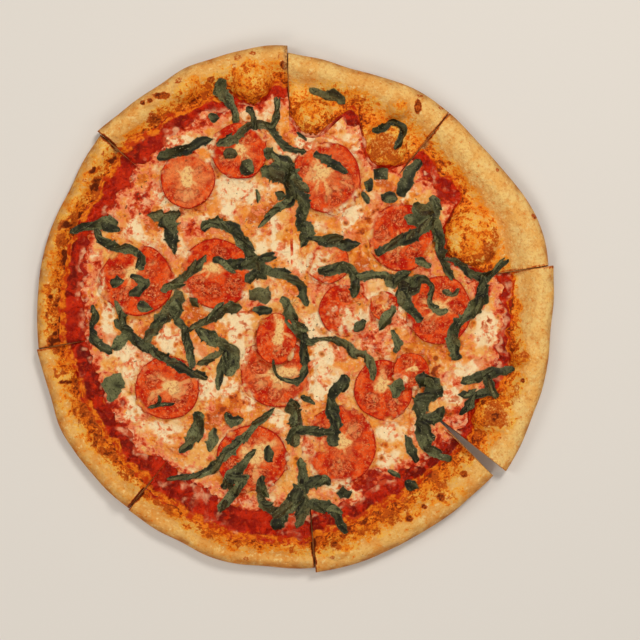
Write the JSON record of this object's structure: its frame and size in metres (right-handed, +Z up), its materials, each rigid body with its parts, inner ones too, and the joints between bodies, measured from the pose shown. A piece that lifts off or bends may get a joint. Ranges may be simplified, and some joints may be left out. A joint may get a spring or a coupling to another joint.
{
  "type": "margherita pizza",
  "caption": "Round thin-crust pizza in pulled-apart slices, with a raised browned rim, sauce, melted cheese, tomato slices and shredded basil.",
  "frame": {"origin": "centre of the pizza's flat underside, at the bottom centre of its box", "axes": "+Z up through the toppings, +Y along the cut between slices a and b"},
  "size_m": [0.3632, 0.3704, 0.021],
  "materials": {
    "crust": "baked bread, matte, golden with browned patches",
    "sauce": "wet tomato sauce",
    "cheese": "melted cheese, oily, cream with orange-brown spots",
    "tomato": "moist tomato slice",
    "basil": "wilted leaf with a slight sheen"
  },
  "bodies": {
    "root": {"crust_slice_a": "crust", "crust_slice_b": "crust", "crust_slice_c": "crust", "crust_slice_d": "crust", "crust_slice_e": "crust", "crust_slice_f": "crust", "crust_slice_g": "crust", "crust_slice_h": "crust", "sauce_slice_a": "sauce", "sauce_slice_b": "sauce", "sauce_slice_c": "sauce", "sauce_slice_d": "sauce", "sauce_slice_e": "sauce", "sauce_slice_f": "sauce", "sauce_slice_g": "sauce", "sauce_slice_h": "sauce", "cheese_slice_a": "cheese", "cheese_slice_b": "cheese", "cheese_slice_c": "cheese", "cheese_slice_d": "cheese", "cheese_slice_e": "cheese", "cheese_slice_f": "cheese", "cheese_slice_g": "cheese", "cheese_slice_h": "cheese", "tomato_01": "tomato", "tomato_02": "tomato", "tomato_03": "tomato", "tomato_04": "tomato", "tomato_05": "tomato", "tomato_06": "tomato", "tomato_07": "tomato", "tomato_08": "tomato", "tomato_09": "tomato", "tomato_10": "tomato", "tomato_11": "tomato", "tomato_12": "tomato", "tomato_13": "tomato", "tomato_14": "tomato", "tomato_15": "tomato", "tomato_16": "tomato", "tomato_17": "tomato", "basil_01": "basil", "basil_02": "basil", "basil_03": "basil", "basil_04": "basil", "basil_05": "basil", "basil_06": "basil", "basil_07": "basil", "basil_08": "basil", "basil_09": "basil", "basil_10": "basil", "basil_11": "basil", "basil_12": "basil", "basil_13": "basil", "basil_14": "basil", "basil_15": "basil", "basil_16": "basil", "basil_17": "basil", "basil_18": "basil", "basil_19": "basil"}
  },
  "joints": []
}
